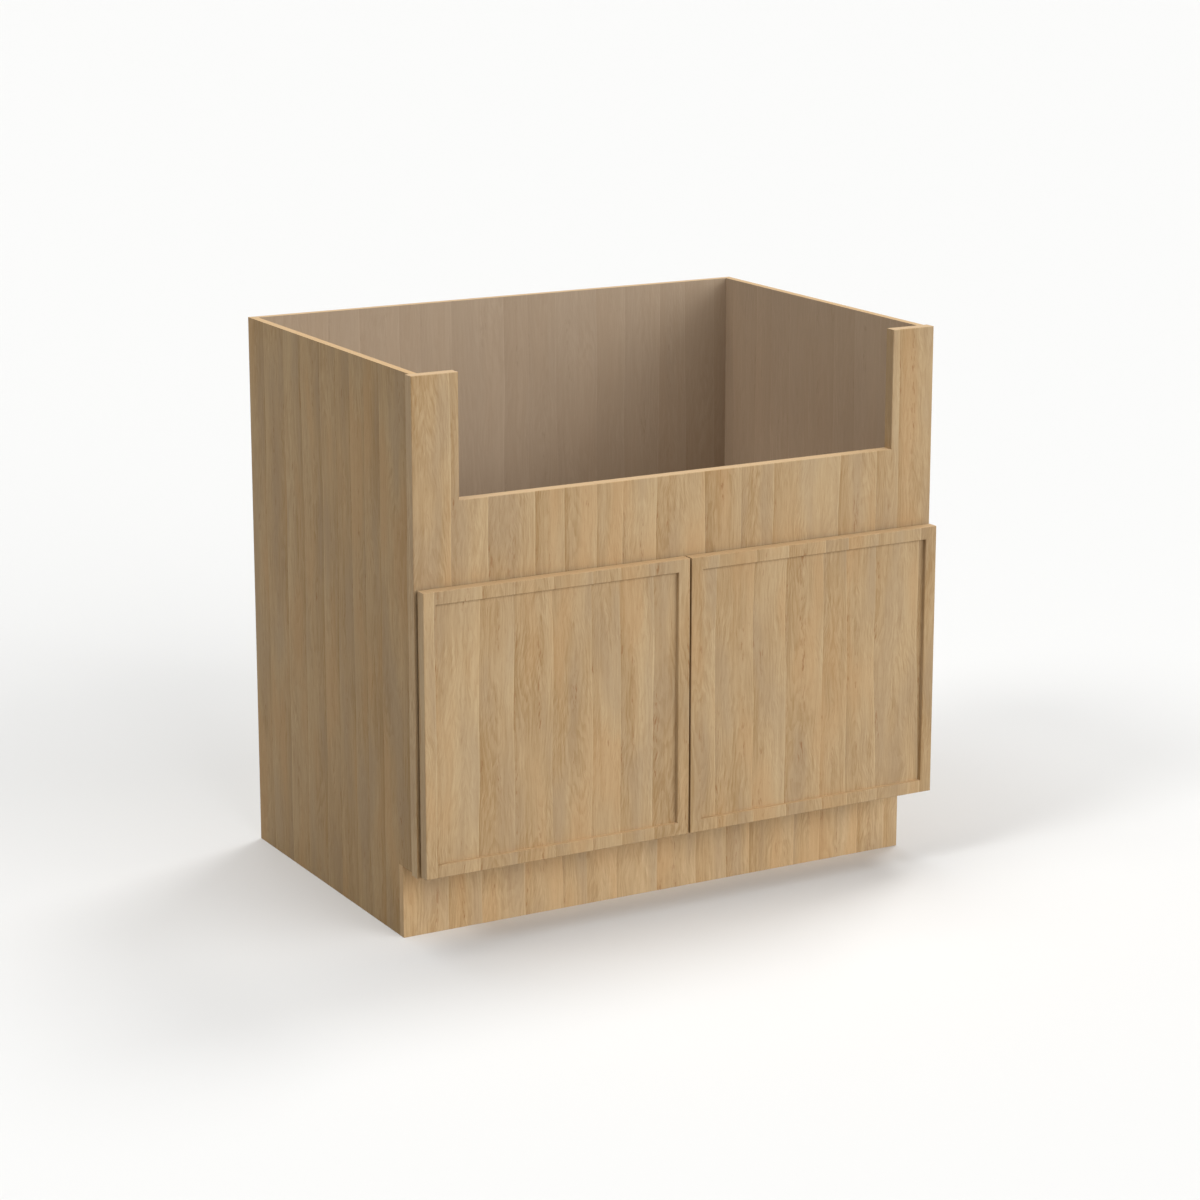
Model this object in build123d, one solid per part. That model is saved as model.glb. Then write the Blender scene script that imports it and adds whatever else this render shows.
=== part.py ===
from build123d import *
import math
import os

# Sink base cabinet for an apron-front sink, in millimetres.
# X runs left to right, Y from front to back, Z up. The origin is on the floor, under the
# middle of the closed cabinet's box, and the doors face -Y.

# ---- Overall size
WIDTH = 914.4               # across the face frame
HEIGHT = 876.3              # floor to the top edges, without a worktop
DEPTH = 609.6               # front of the face frame to the back

# ---- Carcass
SIDE_T = 12.7               # end panels
BACK_T = 12.7
FLOOR_T = 12.7
FRAME_OVERHANG = 6.35       # face frame past each end panel
BACK_RABBET = 6.35          # how far the back panel is let into each end panel
FLOOR_DADO = 6.35           # how far the floor is let into each end panel
TOE_H = 114.3
TOE_SETBACK = 63.5          # front of the face frame to the front of the toe-kick board
TOE_BOARD_T = 12.7
BACKER_T = 12.7             # board behind the toe-kick board, between the end panels
SLEEPER_T = 19.05           # board on edge under the middle of the floor
BLOCK_LEG = 38.1            # glue blocks under the floor
BLOCK_H = 76.2

# ---- Face frame
FRAME_T = 19.05
STILE_W = 38.1
BOTTOM_RAIL_H = 38.1
CUTOUT_H = 190.5            # sink cut-out, down from the top
APRON_BAND_H = 161.9        # apron panel below the cut-out
APRON_EAR_W = 38.1          # apron panel beside the cut-out
EDGE_EASE = 0.8             # broken edges of the frame and the doors

# ---- Doors
DOOR_RAIL_W = 20.0          # width of a door's stiles and rails
DOOR_PANEL_T = 12.7
FIELD_DEPTH = 6.35          # panel's face below the door frame's face
DOOR_GAP = 3.0              # between the two doors
SIDE_REVEAL = 3.175         # face frame seen beside a door
FOOT_REVEAL = 4.76          # face frame seen below a door
TOP_OVERLAY = 34.9          # door over the apron panel
STANDOFF = 6.0              # back of a closed door to the face frame
TONGUE_T = 6.35
GROOVE_DEPTH = 6.35
TONGUE_SLACK = 0.8          # panel's tongue to the bottom of its groove
BUMPER_R = 5.0
BUMPER_TIP_R = 3.8
BUMPER_INSET = 16.0         # bumper's centre from the door's edges

# ---- Hinges. The pin stands in the cup, and one bent arm reaches it from the stile.
HINGE_INSET = 82.5          # cup's centre from the door's top or bottom edge
CUP_R = 17.5
CUP_WALL = 1.0
CUP_SKIN = 2.7              # wood of the door's panel left under the cup
CUP_BASE_T = 0.8
CUP_TAB = 4.0               # wood between the door's edge and the cup
FLANGE_T = 1.0
FLANGE_LIP = 2.5            # flange past the cup
CUP_EAR_LIP = 2.9           # ear past its screw's head
CUP_SCREW_PITCH = 45.0
CUP_SCREW_OFFSET = 9.5      # screws past the cup's centre
PIN_R = 1.5
PIN_CLEARANCE = 0.05
PIN_END = 0.3               # pin's end to the cup's wall
CHEEK_R = 3.0               # cheeks inside the cup, round the pin's ends
CHEEK_GAP = 0.5             # cheek to the arm's side
KNUCKLE_WALL = 1.0
KNUCKLE_GAP = 0.4           # knuckle to the cup's base
KNUCKLE_SIDE_GAP = 0.87     # knuckle to the cup's wall
ARM_T = 1.8
ARM_W = 9.0
ARM_BEND_R = 3.0
ARM_PLATE_MARGIN = 1.2      # plate from the stile's front and back
ARM_SCREW_PITCH = 22.0
ARM_PLATE_LIP = 2.4         # plate past its screws' heads

# ---- Fasteners
SCREW_R = 1.9
SCREW_HEAD_R = 3.6
SCREW_HEAD_T = 1.6
SCREW_CLEARANCE = 0.1
CUP_SCREW_SKIN = 4.2        # wood of the door's panel left under a cup's screw
ARM_SCREW_L = 16.0
DRIVE_R = 1.3               # square socket in a screw's head
DRIVE_DEPTH = 1.0
POCKET_ANGLE = 15.0
POCKET_R = 4.75
POCKET_SCREW_L = 30.0
POCKET_SEAT = 12.0          # screw's head from the joint
POCKET_MARGIN = 25.0        # first and last screw from the apron panel's edges
APRON_SCREWS = 3
DOWEL_R = 3.0
DOWEL_L = 24.0
DOWEL_IN_STILE = 10.0
DOWEL_SLACK = 0.1
DOWEL_MARGIN = 60.0
DOWELS = 5
STAPLE_CROWN = 5.8
STAPLE_WIRE = 1.2
STAPLE_LEG = 22.0
STAPLE_SINK = 0.2           # crown below the back's face
STAPLE_MARGIN = 50.0
SIDE_STAPLES = 7
FLOOR_STAPLES = 6

# ---- Places worked out from the sizes
half_w = WIDTH / 2
x_out = half_w - FRAME_OVERHANG
x_in = x_out - SIDE_T
x_stile = half_w - STILE_W
x_cut = x_stile - APRON_EAR_W
door_t = DOOR_PANEL_T + FIELD_DEPTH
y_front = -(DEPTH - STANDOFF - door_t) / 2
y_side = y_front + FRAME_T
y_toe = y_front + TOE_SETBACK
y_backer = y_toe + TOE_BOARD_T
y_under = y_backer + BACKER_T
y_back = y_front + DEPTH
y_inner = y_back - BACK_T
z_rail = TOE_H + BOTTOM_RAIL_H
z_floor = z_rail - FLOOR_T
z_cut = HEIGHT - CUTOUT_H
z_apron = z_cut - APRON_BAND_H
door_left = -half_w + SIDE_REVEAL
door_right = -DOOR_GAP / 2
door_back = y_front - STANDOFF
door_front = door_back - door_t
door_foot = TOE_H + FOOT_REVEAL
door_top = z_apron + TOP_OVERLAY
tongue_y = door_back - DOOR_PANEL_T / 2
cup_x = door_left + CUP_TAB + CUP_R
cup_depth = DOOR_PANEL_T - CUP_SKIN
bowl_r = CUP_R - CUP_WALL
cup_screw_l = FLANGE_T + DOOR_PANEL_T - CUP_SCREW_SKIN
cup_ear_r = SCREW_HEAD_R + CUP_EAR_LIP
knuckle_r = PIN_R + KNUCKLE_WALL
bowl_half_w = math.sqrt(bowl_r**2 - (ARM_W / 2) ** 2)    # cup's inside, along the arm's side
pin_x = cup_x - bowl_half_w + knuckle_r + KNUCKLE_SIDE_GAP
pin_y = door_back - cup_depth + CUP_BASE_T + knuckle_r + KNUCKLE_GAP
arm_plate_half = ARM_SCREW_PITCH / 2 + SCREW_HEAD_R + ARM_PLATE_LIP
pin_half = math.sqrt(bowl_r**2 - (cup_x - pin_x + PIN_R) ** 2) - PIN_END
cup_heights = {"upper": door_top - HINGE_INSET, "lower": door_foot + HINGE_INSET}


# ---- Helpers
def block(x, y, z):
    """A box from its low and high x, y and z."""
    size = [high - low for low, high in (x, y, z)]
    centre = [(high + low) / 2 for low, high in (x, y, z)]
    return Pos(*centre) * Box(*size)


def rod(start, direction, radius, low, high):
    """A round bar along a direction, from low to high past its start."""
    plane = Plane(origin=start, z_dir=direction)
    return plane * Pos(0, 0, (low + high) / 2) * Cylinder(radius, high - low)


def spread(low, high, count):
    """Evenly spaced places from low to high."""
    return [low + (high - low) * i / (count - 1) for i in range(count)]


def other_side(shape):
    """The same shape on the cabinet's right side."""
    return mirror(shape, about=Plane.YZ)


def both_sides(shapes):
    """The shapes with their mirror images."""
    return [*shapes, *[other_side(shape) for shape in shapes]]


def ease_front(shape):
    """Break the edges all round the foremost face."""
    face = shape.faces().sort_by(Axis.Y)[0]
    return chamfer(face.edges(), EDGE_EASE)


def save(name, *shapes):
    """Write one node, which holds one solid or a group of like solids."""
    solids = [solid for shape in shapes for solid in shape.solids()]
    export_step(Compound(solids), f"parts/{name}.step")


# ---- Screws, dowels and staples
def screw(seat, direction, length):
    """A pan-head screw. Its head sits on the seat and its point lies along the direction."""
    shank = rod(seat, direction, SCREW_R, 0, length - SCREW_R)
    tip_plane = Plane(origin=seat, z_dir=direction)
    tip = tip_plane * Pos(0, 0, length - SCREW_R / 2) * Cone(SCREW_R, SCREW_R / 4, SCREW_R)
    head = rod(seat, direction, SCREW_HEAD_R, -SCREW_HEAD_T, 0)
    drive = tip_plane * Pos(0, 0, DRIVE_DEPTH / 2 - SCREW_HEAD_T)
    return shank + tip + head - drive * Box(2 * DRIVE_R, 2 * DRIVE_R, DRIVE_DEPTH)


def screw_hole(seat, direction, length):
    """The hole for a screw, a little wider and deeper than its shank."""
    return rod(seat, direction, SCREW_R + SCREW_CLEARANCE, 0, length + SCREW_CLEARANCE)


def pocket_direction():
    """From a rail's pocket towards the left stile: outwards, and a little to the front."""
    angle = math.radians(POCKET_ANGLE)
    return (-math.cos(angle), -math.sin(angle), 0)


def pocket_seat(z):
    """Where a pocket screw's head sits, in a rail that ends at the left stile."""
    dx, dy, _ = pocket_direction()
    return (-x_stile - POCKET_SEAT * dx, y_front + FRAME_T / 2 - POCKET_SEAT * dy, z)


def pocket_cut(z):
    """The stepped hole from a rail's back face into the stile."""
    angle = math.radians(POCKET_ANGLE)
    run = FRAME_T / 2 / math.sin(angle) + POCKET_R / math.tan(angle)
    pocket = rod(pocket_seat(z), pocket_direction(), POCKET_R, -run, 0)
    return pocket + screw_hole(pocket_seat(z), pocket_direction(), POCKET_SCREW_L)


def pocket_heights():
    """Heights of the pocket screws: one in the bottom rail, the rest in the apron panel."""
    low = (TOE_H + z_floor) / 2
    return [low] + spread(z_apron + POCKET_MARGIN, z_cut - POCKET_MARGIN, APRON_SCREWS)


def frame_dowel(z, slack=0.0):
    """A dowel from the left end panel's front edge into the stile's back."""
    start = (-x_out + SIDE_T / 2, y_side, z)
    low = -DOWEL_IN_STILE - slack
    return rod(start, (0, 1, 0), DOWEL_R + slack, low, low + DOWEL_L + 2 * slack)


def dowel_heights():
    """Heights of the dowels along the left stile."""
    return spread(TOE_H + DOWEL_MARGIN, HEIGHT - DOWEL_MARGIN, DOWELS)


def staple(x, z, upright):
    """A staple driven into the back panel from behind, with its crown just under the face."""
    half = STAPLE_CROWN / 2
    wire = STAPLE_WIRE / 2
    rear = y_back - STAPLE_SINK
    legs = (rear - STAPLE_LEG, rear)
    crown = (rear - STAPLE_WIRE, rear)
    if upright:
        shape = block((x - wire, x + wire), crown, (z - half, z + half))
        for low in (z - half, z + half - STAPLE_WIRE):
            shape += block((x - wire, x + wire), legs, (low, low + STAPLE_WIRE))
        return shape
    shape = block((x - half, x + half), crown, (z - wire, z + wire))
    for low in (x - half, x + half - STAPLE_WIRE):
        shape += block((low, low + STAPLE_WIRE), legs, (z - wire, z + wire))
    return shape


def side_staples():
    """Staples up the left end panel's rear edge."""
    x = -x_in - BACK_RABBET / 2
    heights = spread(STAPLE_MARGIN, HEIGHT - STAPLE_MARGIN, SIDE_STAPLES)
    return [staple(x, z, True) for z in heights]


def floor_staples():
    """Staples along the floor's rear edge."""
    z = z_floor + FLOOR_T / 2
    places = spread(STAPLE_MARGIN - x_in, x_in - STAPLE_MARGIN, FLOOR_STAPLES)
    return [staple(x, z, False) for x in places]


def without(board, cutters):
    """The board with every cutter taken out of it."""
    for cutter in cutters:
        board -= cutter
    return board


# ---- Carcass
def end_panel():
    """Left end panel: toe notch, floor dado, rear rabbet and dowel holes."""
    panel = block((-x_out, -x_in), (y_side, y_back), (0, HEIGHT))
    panel -= block((-x_out, -x_in), (y_side, y_backer), (0, TOE_H))
    panel -= block((-x_in - BACK_RABBET, -x_in), (y_inner, y_back), (0, HEIGHT))
    panel -= block((-x_in - FLOOR_DADO, -x_in), (y_side, y_inner), (z_floor, z_rail))
    holes = [frame_dowel(z, DOWEL_SLACK) for z in dowel_heights()]
    return without(panel, holes + side_staples())


def back_panel():
    """Full-height back in the end panels' rabbets, with its staples' slots."""
    edge = x_in + BACK_RABBET
    board = block((-edge, edge), (y_inner, y_back), (0, HEIGHT))
    return without(board, both_sides(side_staples()) + floor_staples())


def bottom_panel():
    """Cabinet floor in the end panels' dados, level with the bottom rail's top."""
    edge = x_in + FLOOR_DADO
    board = block((-edge, edge), (y_side, y_inner), (z_floor, z_rail))
    return without(board, floor_staples())


def toe_kick_board():
    """Finished board in front of the toe notch, out to the end panels' outer faces."""
    return block((-x_out, x_out), (y_toe, y_backer), (0, TOE_H))


def toe_kick_backer():
    """Board behind the toe-kick board that carries the floor's front."""
    return block((-x_in, x_in), (y_backer, y_under), (0, z_floor))


def floor_sleeper():
    """Board on edge under the middle of the floor."""
    return block((-SLEEPER_T / 2, SLEEPER_T / 2), (y_under, y_inner), (0, z_floor))


def glue_block(corner_y, towards):
    """Three-cornered block under the floor, in one of the left end panel's corners."""
    corner = (-x_in, corner_y)
    points = [corner, (-x_in + BLOCK_LEG, corner_y), (-x_in, corner_y + towards * BLOCK_LEG)]
    outline = make_face(Polyline(*points, close=True))
    return Pos(0, 0, z_floor - BLOCK_H) * extrude(outline, BLOCK_H, dir=(0, 0, 1))


# ---- Face frame
def frame_outline():
    """The whole face frame as one eased board, from which its members are taken."""
    board = block((-half_w, half_w), (y_front, y_side), (TOE_H, HEIGHT))
    board -= block((-x_cut, x_cut), (y_front, y_side), (z_cut, HEIGHT))
    board -= block((-x_stile, x_stile), (y_front, y_side), (z_rail, z_apron))
    return ease_front(board)


def frame_member(x, z):
    """A member of the face frame between the given x and z."""
    return frame_outline() & block(x, (y_front, y_side), z)


def stile():
    """Left stile, with its dowel, pocket-screw and hinge-screw holes."""
    board = frame_member((-half_w, -x_stile), (TOE_H, HEIGHT))
    holes = [frame_dowel(z, DOWEL_SLACK) for z in dowel_heights()]
    holes += [pocket_cut(z) for z in pocket_heights()]
    for z in arm_screw_heights():
        holes.append(screw_hole(arm_screw_seat(z), (-1, 0, 0), ARM_SCREW_L))
    return without(board, holes)


def apron_panel():
    """Wide top member of the face frame, cut out for the sink's apron."""
    board = frame_member((-x_stile, x_stile), (z_apron, HEIGHT))
    return without(board, both_sides([pocket_cut(z) for z in pocket_heights()[1:]]))


def bottom_rail():
    """Bottom member of the face frame."""
    board = frame_member((-x_stile, x_stile), (TOE_H, z_rail))
    return without(board, both_sides([pocket_cut(pocket_heights()[0])]))


# ---- Doors
def door_outline():
    """The left door as one eased board with its sunk field."""
    field_x = (door_left + DOOR_RAIL_W, door_right - DOOR_RAIL_W)
    field_z = (door_foot + DOOR_RAIL_W, door_top - DOOR_RAIL_W)
    board = block((door_left, door_right), (door_front, door_back), (door_foot, door_top))
    board -= block(field_x, (door_front, door_back - DOOR_PANEL_T), field_z)
    return ease_front(board)


def door_tongue(x, z):
    """A tongue or a groove in the middle of the panel's thickness, between x and z."""
    return block(x, (tongue_y - TONGUE_T / 2, tongue_y + TONGUE_T / 2), z)


def cup_seats():
    """Bores for both cups, and the holes for their screws."""
    seats = []
    for z in cup_heights.values():
        seats.append(rod((cup_x, door_back, z), (0, -1, 0), CUP_R, 0, cup_depth))
        seats += [screw_hole(seat, (0, -1, 0), cup_screw_l) for seat in cup_screw_seats(z)]
    return seats


def door_stile(outer, inner):
    """A full-height stile of the left door, from its outer to its inner x, grooved inside."""
    depth = GROOVE_DEPTH if outer < inner else -GROOVE_DEPTH
    z = (door_foot, door_top)
    board = door_outline() & block(sorted((outer, inner)), (door_front, door_back), z)
    return board - door_tongue(sorted((inner - depth, inner)), z)


def door_rail(outer, inner):
    """A rail of the left door, from its outer to its inner z, tongued at both ends."""
    depth = GROOVE_DEPTH if outer < inner else -GROOVE_DEPTH
    x = (door_left + DOOR_RAIL_W, door_right - DOOR_RAIL_W)
    tongue_x = (x[0] - GROOVE_DEPTH, x[1] + GROOVE_DEPTH)
    z = sorted((outer, inner))
    board = door_outline() & block(x, (door_front, door_back), z)
    board += door_tongue(tongue_x, z)
    return board - door_tongue(tongue_x, sorted((inner - depth, inner)))


def door_panel():
    """The left door's sunk panel, tongued all round and flush with the frame's back."""
    reach = DOOR_RAIL_W - GROOVE_DEPTH + TONGUE_SLACK
    field = block(
        (door_left + DOOR_RAIL_W, door_right - DOOR_RAIL_W),
        (door_back - DOOR_PANEL_T, door_back),
        (door_foot + DOOR_RAIL_W, door_top - DOOR_RAIL_W),
    )
    tongue = door_tongue(
        (door_left + reach, door_right - reach), (door_foot + reach, door_top - reach)
    )
    return without(field + tongue, cup_seats())


def hinge_side_stile():
    """The left door's outer stile, bored for the cups."""
    return without(door_stile(door_left, door_left + DOOR_RAIL_W), cup_seats())


def bumper(z):
    """Soft bumper on the door's back, which meets the face frame."""
    x = door_right - BUMPER_INSET
    tip = Plane(origin=(x, door_back, z), z_dir=(0, 1, 0)) * Pos(0, 0, STANDOFF / 2)
    return tip * Cone(BUMPER_R, BUMPER_TIP_R, STANDOFF)


# ---- Hinges
def cup_screw_seats(z):
    """Where the heads of a cup's two screws sit."""
    x = cup_x + CUP_SCREW_OFFSET
    half = CUP_SCREW_PITCH / 2
    return [(x, door_back + FLANGE_T, z - half), (x, door_back + FLANGE_T, z + half)]


def cup_flange(z):
    """Flange round the cup, with an ear under each screw."""
    back = (0, 1, 0)
    x = cup_x + CUP_SCREW_OFFSET
    half = CUP_SCREW_PITCH / 2
    flange = rod((cup_x, door_back, z), back, CUP_R + FLANGE_LIP, 0, FLANGE_T)
    for ear_z in (z - half, z + half):
        flange += rod((x, door_back, ear_z), back, cup_ear_r, 0, FLANGE_T)
    depth = (door_back, door_back + FLANGE_T)
    return flange + block((x - cup_ear_r, x + cup_ear_r), depth, (z - half, z + half))


def hinge_cup(z):
    """Pressed cup with a flange, and two cheeks inside that hold the pin's ends."""
    centre = (cup_x, door_back, z)
    back = (0, 1, 0)
    bowl = rod(centre, back, bowl_r, CUP_BASE_T - cup_depth, FLANGE_T)
    cup = cup_flange(z) + rod(centre, back, CUP_R, -cup_depth, 0) - bowl
    gap = ARM_W / 2 + CHEEK_GAP
    x = (pin_x - CHEEK_R, pin_x + CHEEK_R)
    y = (door_back - cup_depth, pin_y + CHEEK_R)
    for z_range in ((z - CUP_R, z - gap), (z + gap, z + CUP_R)):
        cup += block(x, y, z_range) & bowl
    cup -= rod((pin_x, pin_y, z), (0, 0, 1), PIN_R + PIN_CLEARANCE, -pin_half, pin_half)
    holes = [screw_hole(seat, (0, -1, 0), cup_screw_l) for seat in cup_screw_seats(z)]
    return without(cup, holes)


def hinge_pin(z):
    """Upright pin, held in the cup's cheeks at both ends."""
    half = pin_half - PIN_CLEARANCE
    return rod((pin_x, pin_y, z), (0, 0, 1), PIN_R, -half, half)


def hinge_arm(z):
    """Bent arm: knuckle on the pin, through the cup's mouth, to a plate on the stile."""
    width = (z - ARM_W / 2, z + ARM_W / 2)
    inner = -x_stile
    outer = inner + ARM_T
    plate_y = (y_front + ARM_PLATE_MARGIN, y_side - ARM_PLATE_MARGIN)
    reach = block((pin_x, outer), (pin_y - ARM_T / 2, pin_y + ARM_T / 2), width)
    neck = block((inner, outer), (pin_y - ARM_T / 2, plate_y[1]), width)
    bent = reach + neck
    outside = bent.edges().filter_by(Axis.Z).sort_by_distance((outer, pin_y - ARM_T / 2, z))[0]
    bent = fillet(outside, ARM_BEND_R + ARM_T)
    inside = bent.edges().filter_by(Axis.Z).sort_by_distance((inner, pin_y + ARM_T / 2, z))[0]
    bent = fillet(inside, ARM_BEND_R)
    plate = block((inner, outer), plate_y, (z - arm_plate_half, z + arm_plate_half))
    arm = bent + plate + rod((pin_x, pin_y, z), (0, 0, 1), knuckle_r, -ARM_W / 2, ARM_W / 2)
    arm -= rod((pin_x, pin_y, z), (0, 0, 1), PIN_R + PIN_CLEARANCE, -ARM_W, ARM_W)
    for screw_z in (z - ARM_SCREW_PITCH / 2, z + ARM_SCREW_PITCH / 2):
        arm -= screw_hole(arm_screw_seat(screw_z), (-1, 0, 0), ARM_SCREW_L)
    return arm


def arm_screw_seat(z):
    """Where a hinge-arm screw's head sits."""
    return (-x_stile + ARM_T, y_front + FRAME_T / 2, z)


def arm_screw_heights():
    """Heights of both arms' screws."""
    half = ARM_SCREW_PITCH / 2
    return [z + side for z in cup_heights.values() for side in (-half, half)]


# ---- Nodes
def save_pair(name, *shapes):
    """Write a left node and its mirror image on the right."""
    save(f"left_{name}", *shapes)
    save(f"right_{name}", *[other_side(shape) for shape in shapes])


def save_carcass():
    """Panels, boards under the floor, and what fastens them."""
    save_pair("end_panel", end_panel())
    save("back_panel", back_panel())
    save("bottom_panel", bottom_panel())
    save("toe_kick_board", toe_kick_board())
    save("toe_kick_backer", toe_kick_backer())
    save("floor_sleeper", floor_sleeper())
    save("glue_blocks", *both_sides([glue_block(y_under, 1), glue_block(y_inner, -1)]))
    save("back_staples", *both_sides(side_staples()), *floor_staples())


def save_face_frame():
    """Stiles, rails, dowels and pocket screws."""
    save_pair("stile", stile())
    save("apron_panel", apron_panel())
    save("bottom_rail", bottom_rail())
    save("frame_dowels", *both_sides([frame_dowel(z) for z in dowel_heights()]))
    pocket_screws = [
        screw(pocket_seat(z), pocket_direction(), POCKET_SCREW_L) for z in pocket_heights()
    ]
    save("pocket_screws", *both_sides(pocket_screws))


def save_doors():
    """The members of both doors."""
    save_pair("door_hinge_stile", hinge_side_stile())
    save_pair("door_lock_stile", door_stile(door_right, door_right - DOOR_RAIL_W))
    save_pair("door_top_rail", door_rail(door_top, door_top - DOOR_RAIL_W))
    save_pair("door_bottom_rail", door_rail(door_foot, door_foot + DOOR_RAIL_W))
    save_pair("door_panel", door_panel())
    ends = (door_foot + BUMPER_INSET, door_top - BUMPER_INSET)
    save_pair("door_bumpers", *[bumper(z) for z in ends])


def save_hinges():
    """Two hinges for each door, and their screws."""
    for place, z in cup_heights.items():
        save_pair(f"{place}_hinge_cup", hinge_cup(z))
        save_pair(f"{place}_hinge_pin", hinge_pin(z))
        save_pair(f"{place}_hinge_arm", hinge_arm(z))
    cup_screws = [
        screw(seat, (0, -1, 0), cup_screw_l)
        for z in cup_heights.values()
        for seat in cup_screw_seats(z)
    ]
    save_pair("hinge_cup_screws", *cup_screws)
    arm_screws = [
        screw(arm_screw_seat(z), (-1, 0, 0), ARM_SCREW_L) for z in arm_screw_heights()
    ]
    save("hinge_arm_screws", *both_sides(arm_screws))


os.makedirs("parts", exist_ok=True)
save_carcass()
save_face_frame()
save_doors()
save_hinges()
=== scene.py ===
import math

import bpy
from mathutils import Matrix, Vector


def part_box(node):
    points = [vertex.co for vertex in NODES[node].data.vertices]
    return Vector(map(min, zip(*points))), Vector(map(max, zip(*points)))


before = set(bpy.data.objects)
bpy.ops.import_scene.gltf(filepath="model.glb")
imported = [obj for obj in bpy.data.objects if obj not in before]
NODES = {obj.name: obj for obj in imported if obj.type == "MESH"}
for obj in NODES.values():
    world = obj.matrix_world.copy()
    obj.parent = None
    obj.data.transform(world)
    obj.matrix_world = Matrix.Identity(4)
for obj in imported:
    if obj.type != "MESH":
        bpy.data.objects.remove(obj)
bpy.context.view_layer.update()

bl_info = {
    "name": "Sink Base Cabinet",
    "version": (1, 0, 0),
    "blender": (4, 5, 0),
    "location": "View3D > Sidebar > Cabinet",
    "description": "Finishes, hardware and studio for an apron-front sink base cabinet",
    "category": "Object",
}

SIDES = ("left", "right")
OUTWARD = {"left": -1, "right": 1}    # which way along X each end panel's outer face looks
PLACES = ("upper", "lower")
MM = 1000.0    # millimetres in a metre

# Axes of the row frame, and the sockets of a Mix node.
X, Y, Z = range(3)
FLOAT_A, FLOAT_B, FLOAT_OUT = 2, 3, 0
VECTOR_A, VECTOR_B, VECTOR_OUT = 4, 5, 1
COLOUR_A, COLOUR_B, COLOUR_OUT = 6, 7, 2

# Sizes of wood patterns in mm, across the grain and along it. Real pores, fibres and rays are
# 0.1 to 0.3 mm wide. They are drawn 0.8 to 2.2 mm wide, or the render loses them.
SWAY = (90, 240)          # bends of a stave's edges
WAVE = (30, 64)           # bends of the grain within a stave
STREAK = (6, 170)         # bundles of paler and deeper fibres
FEATHER = (1.8, 22)       # short fibres that slant
FEATHER_LEAN = 0.2        # mm sideways for each mm along the grain
FLECK = (2.2, 16)         # brown flecks
FLECK_REACH = 90          # length of a stretch of flecks
PORE_WIDTH = 1.4
BIRCH_SWELL = (110, 480)  # broad waves of rotary-cut veneer
BIRCH_FIBRE = (1.6, 70)
BEECH_RAY = (0.8, 3.0)
BEECH_FIBRE = (0.9, 30)

# Other measures of the wood.
FIBRE_LENGTH = 22         # widths of a bundle of fibres that it is long
STAVE_SWELL = (2.2, 90)   # widths of a stave over which its own width changes
STAVES_APART = 40         # how far apart two neighbouring staves lie in a noise
OAK_RINGS = 16            # growth rings between the least and the most swell of the figure
BIRCH_RINGS = 14
PAINTED_TOP_LIGHT_COVER = 0.75      # how far the painted top light hides the wood under it
END_SATURATION = 1.08     # how much warmer the end panels' sheets are

# Where in the noise each sheet of veneer is cut. Another number gives another figure.
SHEETS = {
    "frame": 11.3, "left_door": 31.7, "right_door": 52.1, "left_end": 71.9, "right_end": 83.5,
    "back": 4.2, "floor": 6.2, "toe_kick": 95.0, "backer": 9.0, "sleeper": 10.0, "blocks": 12.0,
    "dowel_fibre": 4.0, "dowel_ray": 2.0,
}

# Mottle of other surfaces, in bumps per mm.
SAW_MARK = 0.9    # the rough edge of sawn plywood
BLOOM = 0.35      # duller patches of plated steel
GRIT = 4.0        # the fine grain of plated steel
CLOUD = 0.5       # the milky depth of cast polyurethane

# Relief: how strong it is and how deep, in metres.
GRAIN_RELIEF, GRAIN_DEPTH = 0.15, 0.0002
TURNED_RELIEF, CAST_RELIEF = 0.2, 0.1
GRIT_RELIEF, GRIT_DEPTH = 0.08, 0.00005

SQUARE_ENOUGH = 0.8    # how squarely a face has to look along an axis: 1 is dead square

# Lamps: name, degrees to the right of the front, degrees up, strength, and breadth in degrees.
LAMPS = (
    ("front_lamp", 8, 22, 0.46, 44),
    ("right_lamp", 46, 18, 0.40, 40),
    ("back_lamp", 120, 54, 0.27, 20),
    ("left_lamp_low", -80, 44, 0.24, 18),
    ("left_lamp_high", -100, 66, 0.16, 24),
    ("top_lamp", 175, 76, 0.26, 30),
)
FLOOR_REACH = 60.0     # metres from the cabinet to the floor's far edge
FLOOR_DROP = 0.0002    # metres under the cabinet's foot, so that the two don't flicker
SENSOR_WIDTH = 36.0    # mm, of the full frame that the lens's length is given for


def linear(code):
    """An sRGB hex colour as linear red, green, blue and alpha."""
    channels = [int(code[i:i + 2], 16) / 255 for i in (0, 2, 4)]
    return [c / 12.92 if c <= 0.04045 else ((c + 0.055) / 1.055) ** 2.4 for c in channels] + [1.0]


# ---- What a user can change
def colour(name, code, description):
    """A colour with an sRGB hex default."""
    return bpy.props.FloatVectorProperty(
        name=name, description=description, subtype="COLOR", size=4, min=0, max=1,
        default=linear(code),
    )


def length(name, millimetres, description):
    """A length with its default in millimetres."""
    return bpy.props.FloatProperty(
        name=name, description=description, unit="LENGTH", min=0, precision=4,
        default=millimetres / MM,
    )


def angle(name, degrees, description):
    """An angle with its default in degrees."""
    return bpy.props.FloatProperty(
        name=name, description=description, subtype="ANGLE", default=math.radians(degrees),
    )


def share(name, value, description):
    """A share from 0 to 1."""
    return bpy.props.FloatProperty(
        name=name, description=description, subtype="FACTOR", min=0, max=1, default=value,
    )


def lift(name, value, description):
    """How many times as much light a sheet of veneer sends back as the one it is matched to."""
    return bpy.props.FloatProperty(name=name, description=description, min=0, default=value)


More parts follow.
